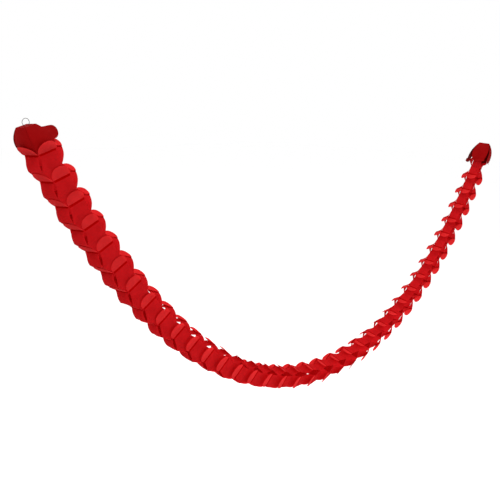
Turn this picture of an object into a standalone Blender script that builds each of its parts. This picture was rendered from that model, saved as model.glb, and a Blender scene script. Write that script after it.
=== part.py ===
"""Paper pull garland, hung from its ring in one long curve. Metres, +Z up.

The strand is a stack of tissue sheets of one die-cut shape: a square middle with four round petals. Sheets
are glued to their neighbours by turns at the middle and across the petals, so that the stack opens into a
square tube with a collar of free petal tips at each line of glue. Two sheets that share a glued middle are
one object here. A stiff card closes each end, and a wire ring through the near card carries the strand.
"""
import math

import bmesh
import bpy
from mathutils import Matrix, Vector

# The hanging curve, a catenary in the XZ plane
PAIRS = 36                        # sheet pairs, each glued at its middle
PITCH = 0.105                     # length of strand from one line of glue to the next
LOW_PLACE = 18.9                  # where the strand hangs lowest, in pitches from the first line of glue
CURVE_RADIUS = 1.123              # radius of the curve at its lowest point
OUTWARD = 0.009                   # how far outside that curve the middle of the strand lies
SLANT = 1.21                      # slope of the way the sheets face, against the slope of the strand

# The die-cut sheet
NEAR_MIDDLE = 0.045               # half the side of the middle where two sheets lie together, near the ring
FAR_MIDDLE = 0.031                # the same where the strand is thinner
THIN_FROM = 5                     # where the strand begins to get thinner
THIN_TO = 20                      # where it is thinnest
GLUE_HALF_WIDTH = 0.0350          # half the width of a petal at its line of glue
TIP_HALF_WIDTH = 0.0400           # half the width of a free tip where it is widest
NEAR_TIP = 0.044                  # length of the free round tip past the line of glue, near the ring
FAR_TIP = 0.034                   # the same where the strand is thinner
PAPER = 0.0005                    # thickness of one layer
CLEARANCE = 0.0003                # between a petal and the petal that it is glued to
SEAT_SLANT = 1.15                 # length across a slanting wall, against its thickness

# How the petals stand, first, second, third and fourth round the strand
NEAR_GLUE = (0.058, 0.037, 0.037, 0.046)   # distance of the glue lines from the middle, at the ring's end
FAR_GLUE = (0.037, 0.044, 0.037, 0.044)    # the same past the stretch that twists
BULGE = 0.002                     # how far a petal bows out between the middle and the line of glue
NEAR_FLARE = math.radians(26)     # how far the free tips stand off the strand, near the ring
FAR_FLARE = math.radians(26)      # the same past the stretch that twists
FIRST_FLARE = math.radians(50)    # the same on the first line of glue, over the card

# How far the first petal has turned about the strand, from the inside of its bend toward the front
NEAR_TURN = math.radians(-10)
FAR_TURN = math.radians(37)
TURN_FROM = 15                    # where the stretch that twists begins
TURN_TO = 28                      # where it ends

# End cards
CARD = 0.0006                     # thickness of the stiff card
CARD_SQUARE = 0.052               # side of the flat middle of a card
NEAR_BULGE = 0.020                # how far the near card's petals bow out
NEAR_SWELL = 0.015                # how much wider than straight they are halfway
FAR_BULGE = 0.020                 # how far the far card's petals bow out
FAR_SWELL = 0.015                 # how much wider than straight they are halfway
LOOSE_LENGTH = 0.108              # the near card's first petal, come unglued and standing out
LOOSE_SLOPE = math.radians(50)    # its slope where it leaves the card
LOOSE_TIP_SLOPE = math.radians(-30)

# Hanging ring
RING_RADIUS = 0.0130              # to the middle of the wire
WIRE = 0.0018                     # diameter of the wire
HOLE_CLEARANCE = 0.0005           # between the wire and the edge of its hole

# Fineness of the mesh
PETAL_ROWS = 2                     # rows of faces from the middle to the line of glue
TIP_ROWS = 4                      # rows on a free tip
CARD_ROWS = 4                     # rows on a card's petal, up to its line of glue

NEAR_PLACE = -1
FAR_PLACE = PAIRS + 1
# The ring's lowest stretch bears on the card from inside
RING_RISE = RING_RADIUS - WIRE / 2 - CARD - CLEARANCE


def twist_share(place):
    """How much of the twist lies before a place along the strand, given in pitches."""
    share = (place - TURN_FROM) / (TURN_TO - TURN_FROM)
    share = min(max(share, 0.0), 1.0)
    return share * share * (3 - 2 * share)


def thinned(near, far, place):
    """A size that goes from its near value to its far one as the strand gets thinner."""
    share = min(max((place - THIN_FROM) / (THIN_TO - THIN_FROM), 0.0), 1.0)
    return near * (1 - share) + far * share


def glue_radius(petal, place):
    """Distance of a petal's line of glue from the middle of the strand."""
    share = twist_share(place)
    return NEAR_GLUE[petal] * (1 - share) + FAR_GLUE[petal] * share


def curve_at(place):
    """Point of the hanging curve, the way the sheets face there, and the inner side of the bend."""
    run = (place - LOW_PLACE) * PITCH
    reach = math.hypot(run, CURVE_RADIUS)
    point = Vector((CURVE_RADIUS * math.asinh(run / CURVE_RADIUS), 0, reach - CURVE_RADIUS))
    slope = SLANT * math.atan2(run, CURVE_RADIUS)
    facing = Vector((math.cos(slope), 0, math.sin(slope)))
    inside = Vector((-math.sin(slope), 0, math.cos(slope)))
    return point - inside * OUTWARD, facing, inside


# The hook bears on the top of the ring from inside, and that point is the origin
end_point, end_facing, end_inside = curve_at(NEAR_PLACE)
HOOK = end_point - end_facing * (RING_RISE + RING_RADIUS - WIRE / 2)


def frame_at(place):
    """Frame of a cross-section: X along the first petal, Z the way the sheets face."""
    point, facing, inside = curve_at(place)
    front = Vector((0, -1, 0))
    turn = NEAR_TURN + (FAR_TURN - NEAR_TURN) * twist_share(place)
    first = inside * math.cos(turn) + front * math.sin(turn)
    second = front * math.cos(turn) - inside * math.sin(turn)
    frame = Matrix((first, second, facing)).transposed().to_4x4()
    frame.translation = point - HOOK
    return frame


def wall_rows(end_radius, shape):
    """Rows of a petal up to its line of glue: distance out, distance along, slope and half width."""
    start = shape["half_side"]
    found = []
    for row in range(1, shape["rows"] + 1):
        part = row / shape["rows"]
        out = start + (end_radius - start) * part + 4 * shape["bulge"] * part * (1 - part)
        rise = end_radius - start + 4 * shape["bulge"] * (1 - 2 * part)
        half = start + (GLUE_HALF_WIDTH - start) * part + 4 * shape["swell"] * part * (1 - part)
        found.append((out, shape["length"] * part, math.atan2(shape["length"], rise), half))
    return found


def tip_rows(start, half_width, length, slope, end_slope, rows):
    """Rows of a round free tip, from a distance out and along."""
    found = []
    out, along = start
    last = 0.0
    # The edge follows an ellipse, from where the petal is as wide as its line of glue
    first = -math.acos(half_width / TIP_HALF_WIDTH)
    radius = length / (1 - math.sin(first))
    for row in range(1, rows + 1):
        angle = first + (math.radians(84) - first) * row / rows
        distance = radius * (math.sin(angle) - math.sin(first))
        lean = slope + (end_slope - slope) * distance / length
        out += (distance - last) * math.cos(lean)
        along += (distance - last) * math.sin(lean)
        found.append((out, along, lean, TIP_HALF_WIDTH * math.cos(angle)))
        last = distance
    return found


def inner_petal(petal, glue_place, seat, shape):
    """A petal that opens along the strand and ends against the inner face of the next sheet's petal."""
    # The seat is measured square to the slanting wall, which takes a little more of the radius
    radius = glue_radius(petal, glue_place) - (seat + CLEARANCE) * SEAT_SLANT
    return wall_rows(radius, shape)


def outer_petal(petal, glue_place, shape):
    """A petal that opens back along the strand and runs on past its line of glue to a free round tip."""
    radius = glue_radius(petal, glue_place)
    rows = wall_rows(radius, shape)
    out, along, slope, half = rows[-1]
    flare = FIRST_FLARE if glue_place == 0 and petal else thinned(NEAR_FLARE, FAR_FLARE, glue_place)
    lean = math.pi / 2 - flare
    rows[-1] = (out, along, (slope + lean) / 2, half)
    return rows + tip_rows((out, along), half, thinned(NEAR_TIP, FAR_TIP, glue_place), lean, lean, TIP_ROWS)


def loose_petal(half_side):
    """The near card's petal that has come unglued and springs back out."""
    body = LOOSE_LENGTH - NEAR_TIP
    half = GLUE_HALF_WIDTH
    rows = [(half_side + body * math.cos(LOOSE_SLOPE), body * math.sin(LOOSE_SLOPE), LOOSE_SLOPE, half)]
    return rows + tip_rows(rows[0][:2], half, NEAR_TIP, LOOSE_SLOPE / 2, LOOSE_TIP_SLOPE, TIP_ROWS)


def grow_petal(mesh, face, rows, thickness):
    """Extrude one side face of the square plate into a petal, row by row."""
    outward = face.normal.normalized()
    side = Vector((-outward.y, outward.x, 0))
    way = 1 if face.calc_center_median().z > 0 else -1
    corners = {}
    for vert in face.verts:
        key = (1 if vert.co.dot(side) > 0 else -1, 1 if abs(vert.co.z) > thickness / 2 else 0)
        corners[key] = vert.co.copy()
    for out, along, slope, half in rows:
        new = bmesh.ops.extrude_discrete_faces(mesh, faces=[face])
        face = new["faces"][0]
        moved = {}
        for vert in face.verts:
            key = min(corners, key=lambda k: (corners[k] - vert.co).length)
            hand, inner = key
            distance = out - inner * thickness * math.sin(slope)
            height = along + inner * thickness * math.cos(slope)
            moved[key] = outward * distance + side * (hand * half) + Vector((0, 0, way * height))
            vert.co = moved[key]
        corners = moved


def sheet_mesh(name, place, half_side, layers):
    """Mesh of a glued middle with its petals, bent and twisted to its place along the strand.

    Each layer is a way along the strand (1 or -1), a thickness and four petals' rows.
    """
    top = sum(thickness for way, thickness, petals in layers if way > 0)
    bottom = -sum(thickness for way, thickness, petals in layers if way < 0)
    mesh = bmesh.new()
    sides = Matrix.Diagonal((half_side * 2, half_side * 2, top - bottom, 1))
    bmesh.ops.create_cube(mesh, size=1, matrix=Matrix.Translation((0, 0, (top + bottom) / 2)) @ sides)
    if len(layers) == 2:
        everything = mesh.verts[:] + mesh.edges[:] + mesh.faces[:]
        bmesh.ops.bisect_plane(mesh, geom=everything, dist=1e-6, plane_co=(0, 0, 0), plane_no=(0, 0, 1))
    mesh.normal_update()
    for face in [face for face in mesh.faces if abs(face.normal.z) < 0.5]:
        height = face.calc_center_median().z
        thickness, petals = [(t, p) for way, t, p in layers if way * height > 0][0]
        quarter = round(math.atan2(face.normal.y, face.normal.x) / (math.pi / 2)) % 4
        grow_petal(mesh, face, petals[quarter], thickness)
    home = frame_at(place).inverted()
    for vert in mesh.verts:
        section = frame_at(place + vert.co.z / PITCH)
        vert.co = home @ (section @ Vector((vert.co.x, vert.co.y, 0)))
    bmesh.ops.recalc_face_normals(mesh, faces=mesh.faces[:])
    data = bpy.data.meshes.new(name)
    mesh.to_mesh(data)
    mesh.free()
    return data


def principled(name, colour, roughness, metallic=0.0):
    material = bpy.data.materials.new(name)
    material.use_nodes = True
    shader = material.node_tree.nodes["Principled BSDF"]
    shader.inputs["Base Color"].default_value = (*colour, 1)
    shader.inputs["Roughness"].default_value = roughness
    shader.inputs["Metallic"].default_value = metallic
    return material


def add_sheet(name, place, half_side, layers, material, collection):
    piece = bpy.data.objects.new(name, sheet_mesh(name, place, half_side, layers))
    piece.matrix_world = frame_at(place)
    piece.data.materials.append(material)
    collection.objects.link(piece)
    return piece


def add_ring(material, collection):
    point, facing, inside = curve_at(NEAR_PLACE)
    bpy.ops.mesh.primitive_torus_add(
        major_segments=28,
        minor_segments=6,
        major_radius=RING_RADIUS,
        minor_radius=WIRE / 2,
        location=point - HOOK - facing * RING_RISE,
        rotation=(math.pi / 2, 0, 0),
    )
    ring = bpy.context.object
    ring.name = "hanging_ring"
    ring.data.name = "hanging_ring"
    ring.data.materials.append(material)
    ring.data.shade_smooth()
    for owner in list(ring.users_collection):
        owner.objects.unlink(ring)
    collection.objects.link(ring)
    return ring


def punch_ring_holes(card, cutters):
    """Two holes in the card's middle, where the slanting wire goes through it."""
    # Nearest and farthest edge of the wire where it crosses the card, from the ring's centre line
    near_edge = math.sqrt((RING_RADIUS - WIRE / 2) ** 2 - (RING_RISE + CARD) ** 2)
    far_edge = math.sqrt((RING_RADIUS + WIRE / 2) ** 2 - RING_RISE ** 2)
    radius = (far_edge - near_edge) / 2 + HOLE_CLEARANCE
    point, facing, inside = curve_at(NEAR_PLACE)
    for number, hand in enumerate((-1, 1), start=1):
        bpy.ops.mesh.primitive_cylinder_add(
            vertices=16,
            radius=radius,
            depth=CARD * 8,
            location=point - HOOK + inside * hand * (near_edge + far_edge) / 2,
            rotation=facing.to_track_quat("Z", "Y").to_euler(),
        )
        cutter = bpy.context.object
        cutter.name = f"ring_hole_{number}"
        cutter.hide_render = True
        cutter.display_type = "WIRE"
        for owner in list(cutter.users_collection):
            owner.objects.unlink(cutter)
        cutters.objects.link(cutter)
        hole = card.modifiers.new(cutter.name, "BOOLEAN")
        hole.operation = "DIFFERENCE"
        hole.solver = "EXACT"
        hole.object = cutter


def build():
    for item in list(bpy.data.objects):
        bpy.data.objects.remove(item)
    parts = bpy.data.collections.new("paper_bunting")
    cutters = bpy.data.collections.new("cutters")
    bpy.context.scene.collection.children.link(parts)
    bpy.context.scene.collection.children.link(cutters)

    tissue = principled("Red tissue", (0.42, 0.004, 0.007), 0.85)
    card = principled("Red card", (0.36, 0.004, 0.006), 0.7)
    steel = principled("Ring steel", (0.42, 0.40, 0.37), 0.35, 1.0)

    near = {"half_side": CARD_SQUARE / 2, "length": PITCH, "bulge": NEAR_BULGE, "swell": NEAR_SWELL,
            "rows": CARD_ROWS}
    far = dict(near, bulge=FAR_BULGE, swell=FAR_SWELL)

    petals = [loose_petal(CARD_SQUARE / 2)] + [inner_petal(petal, 0, PAPER, near) for petal in (1, 2, 3)]
    near_card = add_sheet("near_card", NEAR_PLACE, CARD_SQUARE / 2, [(1, CARD, petals)], card, parts)
    punch_ring_holes(near_card, cutters)

    for number in range(PAIRS):
        middle = thinned(NEAR_MIDDLE, FAR_MIDDLE, number)
        sheet = {"half_side": middle, "length": PITCH / 2, "bulge": BULGE, "swell": 0.0, "rows": PETAL_ROWS}
        seat = CARD if number == PAIRS - 1 else PAPER
        ahead = [inner_petal(petal, number + 1, seat, sheet) for petal in range(4)]
        back = [outer_petal(petal, number, sheet) for petal in range(4)]
        layers = [(1, PAPER, ahead), (-1, PAPER, back)]
        add_sheet(f"sheet_pair_{number + 1:02d}", number + 0.5, middle, layers, tissue, parts)

    petals = [outer_petal(petal, PAIRS, far) for petal in range(4)]
    add_sheet("far_card", FAR_PLACE, CARD_SQUARE / 2, [(-1, CARD, petals)], card, parts)
    add_ring(steel, parts)


build()
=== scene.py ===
import math

import bmesh
import bpy
from mathutils import Matrix, Vector, noise


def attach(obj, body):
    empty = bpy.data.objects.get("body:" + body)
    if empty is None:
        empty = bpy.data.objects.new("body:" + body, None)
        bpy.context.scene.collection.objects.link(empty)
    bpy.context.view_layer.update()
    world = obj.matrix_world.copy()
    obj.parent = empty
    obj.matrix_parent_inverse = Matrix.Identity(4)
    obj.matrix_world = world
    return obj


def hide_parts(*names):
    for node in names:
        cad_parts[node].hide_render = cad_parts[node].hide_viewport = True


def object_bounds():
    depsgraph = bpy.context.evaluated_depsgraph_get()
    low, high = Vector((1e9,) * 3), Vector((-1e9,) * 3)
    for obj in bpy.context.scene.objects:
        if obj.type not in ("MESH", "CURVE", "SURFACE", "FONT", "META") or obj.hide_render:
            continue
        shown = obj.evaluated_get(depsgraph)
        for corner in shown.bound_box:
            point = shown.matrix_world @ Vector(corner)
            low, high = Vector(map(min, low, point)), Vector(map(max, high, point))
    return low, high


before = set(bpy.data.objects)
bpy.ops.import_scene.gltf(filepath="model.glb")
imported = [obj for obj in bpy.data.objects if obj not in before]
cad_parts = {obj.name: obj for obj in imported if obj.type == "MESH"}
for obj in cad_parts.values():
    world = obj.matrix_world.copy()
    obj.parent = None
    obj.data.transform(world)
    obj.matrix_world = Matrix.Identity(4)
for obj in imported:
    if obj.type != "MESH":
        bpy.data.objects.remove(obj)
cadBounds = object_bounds()
print("frame loaded:", len(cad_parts), "nodes")

# The hanging curve, and how the tube turns, leans and gets thinner along it. A place counts lines of glue
strand = {
    "pairs": 36,
    "pitch": 0.105,                               # metres from one line of glue to the next
    "lowPlace": 18.9,                             # where the strand hangs lowest
    "curveRadius": 1.123,                         # of the curve at its lowest point
    "slant": 1.21,                                # slope of the way the sheets face, against the strand's
    "outwardNear": 0.009,                         # how far outside the curve the strand's middle lies
    "outwardFar": -0.002,
    "outwardFrom": 6,
    "outwardTo": 15,
    "nearTurn": math.radians(-10),
    "farTurn": math.radians(18),
    "turnFrom": 3,
    "turnTo": 17,
    "leanFrom": 16,                               # where the square tube begins to lean into a diamond
    "leanTo": 26,
    "thinFrom": (5, 5, 10, 5),                    # where each petal's sizes begin to change
    "thinTo": 20,
    "nearCardPlace": -1,
    "hookToCard": 0.0233,                         # from the ring's inner top to the near card
}


def mix(a, b, share):
    return a * (1 - share) + b * share


def ramp(place, start, end):
    return min(max((place - start) / (end - start), 0.0), 1.0)


def curvePoint(place):
    # A point of the strand's middle, the way that its sheet faces, and the way to the curve's inside
    run = (place - strand["lowPlace"]) * strand["pitch"]
    radius = strand["curveRadius"]
    point = Vector((radius * math.asinh(run / radius), 0, math.hypot(run, radius) - radius))
    slope = strand["slant"] * math.atan2(run, radius)
    facing = Vector((math.cos(slope), 0, math.sin(slope)))
    inside = Vector((-math.sin(slope), 0, math.cos(slope)))
    share = ramp(place, strand["outwardFrom"], strand["outwardTo"])
    outward = mix(strand["outwardNear"], strand["outwardFar"], share)
    return point - inside * outward, facing, inside


# The hook bears on the ring's inner top, where the frame's origin is
nearPoint, nearFacing, _ = curvePoint(strand["nearCardPlace"])
hook = nearPoint - nearFacing * strand["hookToCard"]


def section(place):
    # Centre of a cross-section, and the ways that its first and second petals lie
    point, facing, inside = curvePoint(place)
    front = Vector((0, -1, 0))
    share = ramp(place, strand["turnFrom"], strand["turnTo"])
    share = share * share * (3 - 2 * share)
    turn = mix(strand["nearTurn"], strand["farTurn"], share)
    first = inside * math.cos(turn) + front * math.sin(turn)
    second = front * math.cos(turn) - inside * math.sin(turn)
    return point - hook, first, second


def petalPoint(petal, place, out, across, turn=0.0):
    # A point out along a petal and across it, at a place along the strand
    centre, first, second = section(place)
    angle = petal * math.pi / 2 + turn
    way = first * math.cos(angle) + second * math.sin(angle)
    side = second * math.cos(angle) - first * math.sin(angle)
    return centre + way * out + side * across


# Each petal's sizes near the ring and where the strand is thin: back right, front, left, back left
tissue = {
    "middleNear": (0.024, 0.046, 0.064, 0.032),   # from the centre to each edge of the glued middle
    "middleFar": (0.026, 0.026, 0.026, 0.026),
    "glueNear": (0.064, 0.037, 0.040, 0.048),     # from the centre to each line of glue
    "glueFar": (0.037, 0.046, 0.037, 0.050),
    "halfNear": (0.035, 0.035, 0.035, 0.035),     # half the width of a petal at its line of glue
    "halfFar": (0.0245, 0.030, 0.0245, 0.030),
    "tipHalfNear": (0.040, 0.0405, 0.042, 0.0405),
    "tipHalfFar": (0.027, 0.034, 0.027, 0.034),   # half the width of a free tip where it is widest
    "tipNear": (0.033, 0.050, 0.052, 0.046),      # length of the free tips
    "tipFar": (0.036, 0.046, 0.034, 0.038),
    "flareNear": (12, 17, 31, 24),                # degrees that the tips stand off the strand
    "flareFar": (22, 20, 22, 14),
    "bowNear": (0.015, 0.003, 0.009, 0.003),      # how far a wall bows out where no tip covers it
    "bowFar": (0.0, 0.0, 0.0, -0.003),
    "lean": (0, 45, 0, 40),                       # degrees that a petal turns where the tube leans
    "coveredBow": -0.002,                         # the bow of a wall that lies under a tip
    "swell": -0.0008,                             # a wall is narrower than straight halfway
    "layerGap": 0.0007,                           # from a petal to the petal that is glued inside it
    "wrinkle": 0.0008,
    "paintedSlots": 1,                                   # glued rows get painted crease shade on top of the glue's own darkening, and tips are painted lighter
    "wallRows": 12,
    "tipRows": 9,
    "middleRows": 6,
    "columns": 12,
}

# What the tissue and the cards have in common
paper = {
    "waves": 28,                                  # wide soft waves to a metre
    "waveHeight": 1.3,                            # as a share of a sheet's wrinkle
    "puckers": 95,                                # small puckers to a metre
    "puckerHeight": 0.6,
    "puckerShift": (7, 3, 5),                     # so that the puckers don't follow the waves
    "crowding": 0.08,                             # rows lie closer together near both ends of a wall
    "edgeBow": 0.4,                               # how much less a wall bows out at its edges
    "curl": -6,                                   # degrees that a tip has curled in at its end
    "droop": 0.10,                                # how much the edges of a tip bend toward the strand
    "tipEnd": math.radians(87),                   # a round tip stops a little short of its last point
    "ragged": 0.016,                              # roughness of a tip's cut edge
    "raggedGrain": 240,                           # how fine that roughness is
    "petalShift": 9.1,                            # so that no two tips are cut alike
    "placeShift": 5.3,
    "weld": 0.00005,                              # points closer than this become one
}


def size(name, petal, place):
    near = tissue[name + "Near"][petal]
    far = tissue[name + "Far"][petal]
    return mix(near, far, ramp(place, strand["thinFrom"][petal], strand["thinTo"]))


def petalShape(petal, place):
    # Everything that a petal's rows need at a line of glue
    names = ("glue", "half", "tipHalf", "tip", "flare", "bow")
    shape = {name: size(name, petal, place) for name in names}
    leaning = ramp(place, strand["leanFrom"], strand["leanTo"])
    shape["turn"] = math.radians(tissue["lean"][petal] * leaning)
    shape["petal"] = petal
    shape["place"] = place
    return shape


def crumple(point, amount):
    # Tissue is never quite flat: wide soft waves with small puckers on them
    wide = noise.noise(point * paper["waves"])
    small = noise.noise(point * paper["puckers"] + Vector(paper["puckerShift"]))
    return amount * (paper["waveHeight"] * wide + paper["puckerHeight"] * small)


def addGrid(mesh, rows, slots):
    # Faces between rows of points, each row's faces with its own material slot
    lines = [[mesh.verts.new(point) for point in row] for row in rows]
    for number in range(len(lines) - 1):
        low, high = lines[number], lines[number + 1]
        for column in range(len(low) - 1):
            face = mesh.faces.new((low[column], low[column + 1], high[column + 1], high[column]))
            face.material_index = slots[number]
            face.smooth = True


def across(columns):
    # Shares of a row's half width, from -1 to 1
    return [2 * column / columns - 1 for column in range(columns + 1)]


def wallRows(shape, start, middle, sheet):
    # Rows of a petal from the edge of the middle to its line of glue
    petal = shape["petal"]
    left = middle[(petal + 3) % 4]
    right = middle[(petal + 1) % 4]
    found = []
    for row in range(sheet["wallRows"] + 1):
        part = row / sheet["wallRows"]
        part = part - paper["crowding"] * math.sin(2 * math.pi * part)
        place = mix(start, shape["place"], part)
        hump = 4 * part * (1 - part)
        line = []
        for side in across(sheet["columns"]):
            edge = mix(-left, right, (side + 1) / 2)
            lateral = mix(edge, side * shape["half"], part) + side * sheet["swell"] * hump
            bow = shape["bow"] * hump * (1 - paper["edgeBow"] * side * side)
            out = mix(middle[petal], shape["glue"], part) + bow
            turn = shape["turn"] * part
            point = petalPoint(petal, place, out, lateral, turn)
            away = (point - petalPoint(petal, place, 0, lateral, turn)).normalized()
            line.append(point + away * crumple(point, sheet["wrinkle"]) * math.sin(math.pi * part))
        found.append(line)
    return found


def tipRows(shape, sheet):
    # Rows of a free tip, from its line of glue back toward the ring
    petal, place = shape["petal"], shape["place"]
    first = -math.acos(shape["half"] / shape["tipHalf"])
    radius = shape["tip"] / (1 - math.sin(first))
    out = shape["glue"]
    run = last = 0.0
    found = []
    for row in range(1, sheet["tipRows"] + 1):
        angle = mix(first, paper["tipEnd"], row / sheet["tipRows"])
        distance = radius * (math.sin(angle) - math.sin(first))
        share = distance / shape["tip"]
        lean = math.radians(shape["flare"] + paper["curl"] * share)
        out += (distance - last) * math.sin(lean)
        run += (distance - last) * math.cos(lean)
        last = distance
        here = place - run / strand["pitch"]
        alongCut = distance * paper["raggedGrain"]
        line = []
        for side in across(sheet["columns"]):
            spot = Vector((alongCut, petal * paper["petalShift"], place * paper["placeShift"] + side))
            ragged = 1 + paper["ragged"] * noise.noise(spot)
            lateral = side * shape["tipHalf"] * math.cos(angle) * ragged
            point = petalPoint(petal, here, out, lateral, shape["turn"])
            away = (point - petalPoint(petal, here, 0, lateral, shape["turn"])).normalized()
            droop = -paper["droop"] * lateral * lateral / shape["tipHalf"]
            line.append(point + away * (crumple(point, sheet["wrinkle"]) + droop) * share)
        found.append(line)
    return found


def finishMesh(name, mesh, materials):
    bmesh.ops.remove_doubles(mesh, verts=mesh.verts[:], dist=paper["weld"])
    bmesh.ops.recalc_face_normals(mesh, faces=mesh.faces[:])
    data = bpy.data.meshes.new(name)
    mesh.to_mesh(data)
    mesh.free()
    piece = bpy.data.objects.new(name, data)
    bpy.context.scene.collection.objects.link(piece)
    for material in materials:
        data.materials.append(material)
    return piece


def addPetal(mesh, shape, start, middle, sheet, tipped=True):
    # A wall and its free tip. Where the sheet takes painted slots, the rows on both sides of the line of
    # glue get the glued red with painted crease shade, and the tip the red painted lighter
    wall = wallRows(shape, start, middle, sheet)
    slots = [0] * (len(wall) - 2) + [1]
    if tipped:
        wall += tipRows(shape, sheet)
        slots += [1] + [2] * (sheet["tipRows"] - 1)
    addGrid(mesh, wall, [slot * sheet["paintedSlots"] for slot in slots])


def addMiddle(mesh, place, middle, count):
    # The flat square that the four petals grow from
    rows = []
    for row in range(count + 1):
        back = mix(-middle[2], middle[0], row / count)
        sides = [mix(-middle[3], middle[1], column / count) for column in range(count + 1)]
        rows.append([petalPoint(0, place, back, side) for side in sides])
    addGrid(mesh, rows, [0] * count)


def makePair(number, materials):
    # Two sheets glued at the middle: the walls both ways, and the free tips over the line behind
    centre = number + 0.5
    middle = [size("middle", petal, centre) for petal in range(4)]
    mesh = bmesh.new()
    for petal in range(4):
        behind = petalShape(petal, number)
        if number == 0 and petal != nearCard["loose"]:
            behind["flare"] = nearCard["firstFlare"]
        addPetal(mesh, behind, centre, middle, tissue)
        # The other sheet's petal is glued inside the next pair's
        ahead = petalShape(petal, number + 1)
        ahead["glue"] -= tissue["layerGap"]
        ahead["bow"] = tissue["coveredBow"]
        addPetal(mesh, ahead, centre, middle, tissue, tipped=False)
    addMiddle(mesh, centre, middle, tissue["middleRows"])
    piece = finishMesh(f"tissuePair{number + 1:02d}", mesh, materials)
    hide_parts(f"sheet_pair_{number + 1:02d}")
    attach(piece, "root")
    return piece


nearCard = {
    "middle": (0.020, 0.026, 0.026, 0.026),       # from the centre to each edge of the flat middle
    "bow": (0, 0.020, 0.020, 0.022),
    "swell": 0.016,                               # how much wider than straight a petal is halfway
    "wrinkle": 0.0004,
    "paintedSlots": 0,                                   # card has one colour all over, with no painted shade or light
    "wallRows": 20,
    "middleRows": 8,
    "columns": 14,
    "loose": 0,                                   # the back right petal has come unglued
    "looseBody": 0.062,                           # its length up to its tip
    "looseSlope": 50,
    "looseTip": 0.046,
    "looseTipSlope": (22, -40),
    "looseRoll": 38,                              # degrees that it has rolled toward the front
    "firstFlare": 33,                             # of the first sheets' tips, over the glued petals
}


def loosePetal():
    # It runs down the back of the strand and springs out
    petal = nearCard["loose"]
    slope = math.radians(nearCard["looseSlope"])
    half = tissue["halfNear"][petal]
    count = nearCard["wallRows"] // 2
    steps = []
    for row in range(count + 1):
        run = nearCard["looseBody"] * row / count
        out = nearCard["middle"][petal] + run * math.cos(slope)
        place = strand["nearCardPlace"] + run * math.sin(slope) / strand["pitch"]
        steps.append((place, out, mix(nearCard["middle"][petal + 1], half, row / count)))
    start, end = nearCard["looseTipSlope"]
    last = 0.0
    for row in range(1, count + 1):
        angle = paper["tipEnd"] * row / count
        distance = nearCard["looseTip"] * math.sin(angle)
        lean = math.radians(mix(start, end, distance / nearCard["looseTip"]))
        out += (distance - last) * math.cos(lean)
        place += (distance - last) * math.sin(lean) / strand["pitch"]
        last = distance
        steps.append((place, out, half * math.cos(angle)))
    rows = []
    for number, (place, out, width) in enumerate(steps):
        roll = math.radians(nearCard["looseRoll"]) * min(number / count, 1)
        facing = curvePoint(place)[1]
        line = []
        for side in across(nearCard["columns"]):
            level = petalPoint(petal, place, out, side * width * math.cos(roll))
            line.append(level + facing * side * width * math.sin(roll))
        rows.append(line)
    return rows


def makeNearCard(material):
    mesh = bmesh.new()
    start = strand["nearCardPlace"]
    middle = nearCard["middle"]
    for petal in range(4):
        if petal != nearCard["loose"]:
            shape = petalShape(petal, 0)
            shape["glue"] -= tissue["layerGap"]
            shape["bow"] = nearCard["bow"][petal]
            addPetal(mesh, shape, start, middle, nearCard, tipped=False)
    loose = loosePetal()
    addGrid(mesh, loose, [0] * (len(loose) - 1))
    addMiddle(mesh, start, middle, nearCard["middleRows"])
    piece = finishMesh("endCardNear", mesh, [material])
    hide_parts("near_card")
    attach(piece, "root")
    return piece


farCard = {
    "place": 37.1,                                # a little past the solid card's
    "middle": (0.026, 0.026, 0.026, 0.030),
    "bow": (0.020, 0.016, 0.020, 0.012),
    "glue": (0.044, 0.050, 0.040, 0.062),
    "half": (0.035, 0.035, 0.035, 0.035),
    "tipHalf": (0.040, 0.040, 0.040, 0.040),
    "tip": (0.016, 0.016, 0.020, 0.020),
    "flare": (20, 30, 20, 40),
    "swell": 0.012,
    "wrinkle": 0.0004,
    "paintedSlots": 0,
    "wallRows": 20,
    "tipRows": 9,
    "middleRows": 8,
    "columns": 14,
}


def makeFarCard(material):
    mesh = bmesh.new()
    middle = farCard["middle"]
    own = ("bow", "glue", "half", "tipHalf", "tip", "flare")
    for petal in range(4):
        shape = petalShape(petal, strand["pairs"])
        shape.update({name: farCard[name][petal] for name in own})
        shape["turn"] = 0.0
        addPetal(mesh, shape, farCard["place"], middle, farCard)
    addMiddle(mesh, farCard["place"], middle, farCard["middleRows"])
    piece = finishMesh("endCardFar", mesh, [material])
    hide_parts("far_card")
    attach(piece, "root")
    return piece


ring = {
    "radius": 0.0130,                             # to the middle of the wire
    "wire": 0.0018,
    "rise": 0.0112,                               # from the near card to the ring's centre
    "turns": 96,
    "sides": 14,
    "dark": (0.012, 0.008, 0.006),
    "light": (0.06, 0.045, 0.035),
    "metallic": 0.6,
    "roughness": 0.38,
    "grainScale": 6,                              # its patches are this much finer than the paper's
}


def makeRing(material):
    mesh = bmesh.new()
    centre = nearPoint - hook - nearFacing * ring["rise"]
    loops = []
    for turn in range(ring["turns"]):
        angle = 2 * math.pi * turn / ring["turns"]
        way = Vector((math.cos(angle), 0, math.sin(angle)))
        loop = []
        for side in range(ring["sides"]):
            roll = 2 * math.pi * side / ring["sides"]
            offset = way * math.cos(roll) + Vector((0, 1, 0)) * math.sin(roll)
            loop.append(mesh.verts.new(centre + way * ring["radius"] + offset * ring["wire"] / 2))
        loops.append(loop)
    for number, loop in enumerate(loops):
        after = loops[(number + 1) % len(loops)]
        for side in range(len(loop)):
            other = (side + 1) % len(loop)
            face = mesh.faces.new((loop[side], loop[other], after[other], after[side]))
            face.smooth = True
    piece = finishMesh("wireRing", mesh, [material])
    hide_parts("hanging_ring")
    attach(piece, "root")
    return piece


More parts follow.
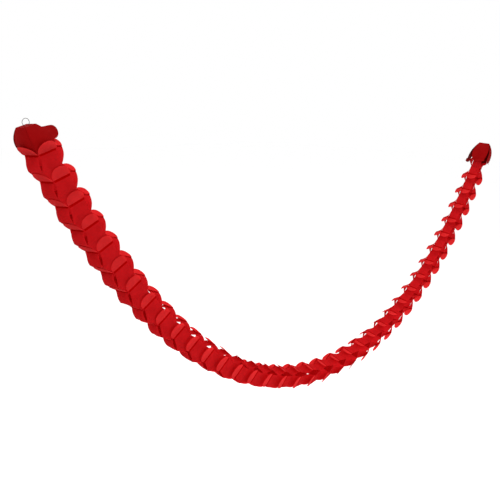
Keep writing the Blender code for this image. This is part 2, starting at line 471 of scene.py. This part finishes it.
# Cloudy patches and long fibres of paper. The wire takes only the patches, for its colour
grainLook = {
    "cloudScale": 26,
    "cloudDetail": 5,
    "cloudRoughness": 0.6,
    "fibreScale": 900,
    "fibreDetail": 3,
    "fibreStretch": (1.0, 1.0, 0.14),             # fibres are about seven times longer than wide
    "fibreHeight": 0.5,                           # against the height of the cloudy patches
}


def newNode(tree, kind, **values):
    node = tree.nodes.new(kind)
    for name, value in values.items():
        setattr(node, name, value)
    return node


def paperGrain():
    # A mask for the colour and a height for the bump
    group = bpy.data.node_groups.new("paperGrain", "ShaderNodeTree")
    face = group.interface
    face.new_socket("Scale", in_out="INPUT", socket_type="NodeSocketFloat").default_value = 1.0
    face.new_socket("Mottle", in_out="OUTPUT", socket_type="NodeSocketFloat")
    face.new_socket("Height", in_out="OUTPUT", socket_type="NodeSocketFloat")
    inside = newNode(group, "NodeGroupInput")
    outside = newNode(group, "NodeGroupOutput")
    coords = newNode(group, "ShaderNodeTexCoord")
    scaled = newNode(group, "ShaderNodeVectorMath", operation="SCALE")
    cloudy = newNode(group, "ShaderNodeTexNoise")
    cloudy.inputs["Scale"].default_value = grainLook["cloudScale"]
    cloudy.inputs["Detail"].default_value = grainLook["cloudDetail"]
    cloudy.inputs["Roughness"].default_value = grainLook["cloudRoughness"]
    stretch = newNode(group, "ShaderNodeMapping")
    stretch.inputs["Scale"].default_value = grainLook["fibreStretch"]
    fibres = newNode(group, "ShaderNodeTexNoise")
    fibres.inputs["Scale"].default_value = grainLook["fibreScale"]
    fibres.inputs["Detail"].default_value = grainLook["fibreDetail"]
    join = newNode(group, "ShaderNodeMath", operation="MULTIPLY_ADD")
    join.inputs[1].default_value = grainLook["fibreHeight"]
    link = group.links.new
    link(coords.outputs["Object"], scaled.inputs[0])
    link(inside.outputs["Scale"], scaled.inputs["Scale"])
    link(scaled.outputs["Vector"], cloudy.inputs["Vector"])
    link(scaled.outputs["Vector"], stretch.inputs["Vector"])
    link(stretch.outputs["Vector"], fibres.inputs["Vector"])
    link(fibres.outputs["Fac"], join.inputs[0])
    link(cloudy.outputs["Fac"], join.inputs[2])
    link(cloudy.outputs["Fac"], outside.inputs["Mottle"])
    link(join.outputs["Value"], outside.inputs["Height"])
    return group


# The reds run from dark to light over the cloudy patches. through is how much light comes from behind
tissueWall = {
    "dark": (0.50, 0.0065, 0.009),
    "light": (0.60, 0.010, 0.014),
    "shine": 0.05,
    "through": 0.6,
    "bump": 0.4,
}

# Rows at each line of glue are darker: partly the real glue-soaked paper, partly painted shade of the
# crease where a wall folds into its tip
glueAndCreaseShade = {
    "dark": (0.32, 0.0, 0.0),
    "light": (0.38, 0.001, 0.001),
    "shine": 0.0,
    "through": 0.35,
    "bump": 0.4,
}

# Painted light: the free tips are the same tissue as the walls in a lighter red, for the light that falls
# on tips that flare out
tipsPaintedLighter = {
    "dark": (0.66, 0.016, 0.018),
    "light": (0.76, 0.025, 0.028),
    "shine": 0.12,
    "through": 0.6,
    "bump": 0.4,
}

endCards = {
    "dark": (0.175, 0.0006, 0.0008),
    "light": (0.215, 0.0015, 0.002),
    "shine": 0.03,
    "through": 0.0,
    "bump": 0.3,
}

# What the four papers share
paperFinish = {
    "roughness": 0.85,
    "bumpDepth": 0.0004,                          # metres
    "darkUpTo": 0.3,
    "lightFrom": 0.7,
}


def paperMaterial(name, grain, look):
    material = bpy.data.materials.new(name)
    material.use_nodes = True
    tree = material.node_tree
    surface = tree.nodes["Principled BSDF"]
    output = tree.nodes["Material Output"]
    texture = newNode(tree, "ShaderNodeGroup", node_tree=grain)
    colour = newNode(tree, "ShaderNodeValToRGB")
    low, high = colour.color_ramp.elements
    low.position = paperFinish["darkUpTo"]
    high.position = paperFinish["lightFrom"]
    low.color = (*look["dark"], 1)
    high.color = (*look["light"], 1)
    raised = newNode(tree, "ShaderNodeBump")
    raised.inputs["Strength"].default_value = look["bump"]
    raised.inputs["Distance"].default_value = paperFinish["bumpDepth"]
    surface.inputs["Roughness"].default_value = paperFinish["roughness"]
    surface.inputs["Specular IOR Level"].default_value = look["shine"]
    link = tree.links.new
    link(texture.outputs["Mottle"], colour.inputs["Fac"])
    link(texture.outputs["Height"], raised.inputs["Height"])
    link(colour.outputs["Color"], surface.inputs["Base Color"])
    link(raised.outputs["Normal"], surface.inputs["Normal"])
    if look["through"]:
        glow = newNode(tree, "ShaderNodeBsdfTranslucent")
        blend = newNode(tree, "ShaderNodeMixShader")
        blend.inputs["Fac"].default_value = look["through"]
        link(colour.outputs["Color"], glow.inputs["Color"])
        link(raised.outputs["Normal"], glow.inputs["Normal"])
        link(surface.outputs["BSDF"], blend.inputs[1])
        link(glow.outputs["BSDF"], blend.inputs[2])
        link(blend.outputs["Shader"], output.inputs["Surface"])
    return material


def wireMaterial(grain):
    material = bpy.data.materials.new("Ring wire")
    material.use_nodes = True
    tree = material.node_tree
    surface = tree.nodes["Principled BSDF"]
    texture = newNode(tree, "ShaderNodeGroup", node_tree=grain)
    texture.inputs["Scale"].default_value = ring["grainScale"]
    colour = newNode(tree, "ShaderNodeValToRGB")
    colour.color_ramp.elements[0].color = (*ring["dark"], 1)
    colour.color_ramp.elements[1].color = (*ring["light"], 1)
    surface.inputs["Metallic"].default_value = ring["metallic"]
    surface.inputs["Roughness"].default_value = ring["roughness"]
    tree.links.new(texture.outputs["Mottle"], colour.inputs["Fac"])
    tree.links.new(colour.outputs["Color"], surface.inputs["Base Color"])
    return material


studio = {
    "white": (1, 1, 1, 1),
    "floorDrop": 0.45,                            # the floor lies this far under the strand
    "floorSize": 40,
    "floorRoughness": 0.9,
    "skyStrength": 1.0,
    "lamps": {                                    # where each is, what it points at, its width and power
        "keyLight": ((-1.5, -3.5, 2.6), (1.2, 0, -0.7), 2.2, 90),
        "topLight": ((1.6, 0.4, 3.0), (1.5, 0, -1.0), 3.0, 60),
        "lowLight": ((1.5, -1.4, -0.7), (1.55, 0, -1.25), 1.0, 9),
    },
}


def stageMaterial():
    material = bpy.data.materials.new("Pale floor")
    material.use_nodes = True
    surface = material.node_tree.nodes["Principled BSDF"]
    surface.inputs["Base Color"].default_value = studio["white"]
    surface.inputs["Roughness"].default_value = studio["floorRoughness"]
    return material


def makeFloor():
    low, high = cadBounds
    middle = (Vector(low) + Vector(high)) / 2
    bpy.ops.mesh.primitive_plane_add(
        size=studio["floorSize"], location=(middle.x, middle.y, low[2] - studio["floorDrop"])
    )
    floor = bpy.context.object
    floor.name = "studioFloor"
    floor.data.materials.append(stageMaterial())


def makeLight(name, place, target, width, power):
    data = bpy.data.lights.new(name, "AREA")
    data.energy = power
    data.size = width
    lamp = bpy.data.objects.new(name, data)
    bpy.context.scene.collection.objects.link(lamp)
    lamp.location = place
    lamp.rotation_euler = (Vector(target) - Vector(place)).to_track_quat("-Z", "Y").to_euler()


def makeStudio():
    world = bpy.data.worlds.new("studio")
    bpy.context.scene.world = world
    world.use_nodes = True
    sky = world.node_tree.nodes["Background"]
    sky.inputs["Color"].default_value = studio["white"]
    sky.inputs["Strength"].default_value = studio["skyStrength"]
    for name, lamp in studio["lamps"].items():
        makeLight(name, *lamp)
    bpy.context.scene.view_settings.view_transform = "Standard"


# The camera, fitted to the hanging curve in the photo
shot = {
    "place": (-2.6699, -2.2437, 1.3472),          # from the curve's lowest point
    "yaw": 0.72131,
    "pitch": -0.18083,
    "roll": 0.015614,
    "lens": 51.725,
    "shift": (0.06258, -0.04166),
    "nearest": 0.01,                              # nothing closer than this is drawn
}


def makeCamera():
    yaw, pitch, roll = shot["yaw"], shot["pitch"], shot["roll"]
    ahead = Vector((math.sin(yaw) * math.cos(pitch), math.cos(yaw) * math.cos(pitch), math.sin(pitch)))
    level = Vector((math.cos(yaw), -math.sin(yaw), 0))
    upright = level.cross(ahead)
    right = level * math.cos(roll) + upright * math.sin(roll)
    up = upright * math.cos(roll) - level * math.sin(roll)
    data = bpy.data.cameras.new("camera")
    data.lens = shot["lens"]
    data.shift_x, data.shift_y = shot["shift"]
    data.clip_start = shot["nearest"]
    camera = bpy.data.objects.new("camera", data)
    turned = Matrix((right, up, -ahead)).transposed().to_4x4()
    turned.translation = Vector(shot["place"]) - hook
    camera.matrix_world = turned
    bpy.context.scene.collection.objects.link(camera)
    bpy.context.scene.camera = camera


makeCamera()
print("camera set")

grain = paperGrain()
tissueRed = paperMaterial("Red tissue", grain, tissueWall)
gluedRedCreaseShade = paperMaterial("Glued tissue with crease shade", grain, glueAndCreaseShade)
tipRedPaintedLighter = paperMaterial("Free tips painted lighter", grain, tipsPaintedLighter)
cardRed = paperMaterial("Red card", grain, endCards)
print("papers made")

makeNearCard(cardRed)
makeFarCard(cardRed)
makeRing(wireMaterial(grain))
print("end cards and ring made")

for number in range(strand["pairs"]):
    makePair(number, [tissueRed, gluedRedCreaseShade, tipRedPaintedLighter])
print("tissue made:", strand["pairs"], "pairs")

makeFloor()
makeStudio()
print("studio set")
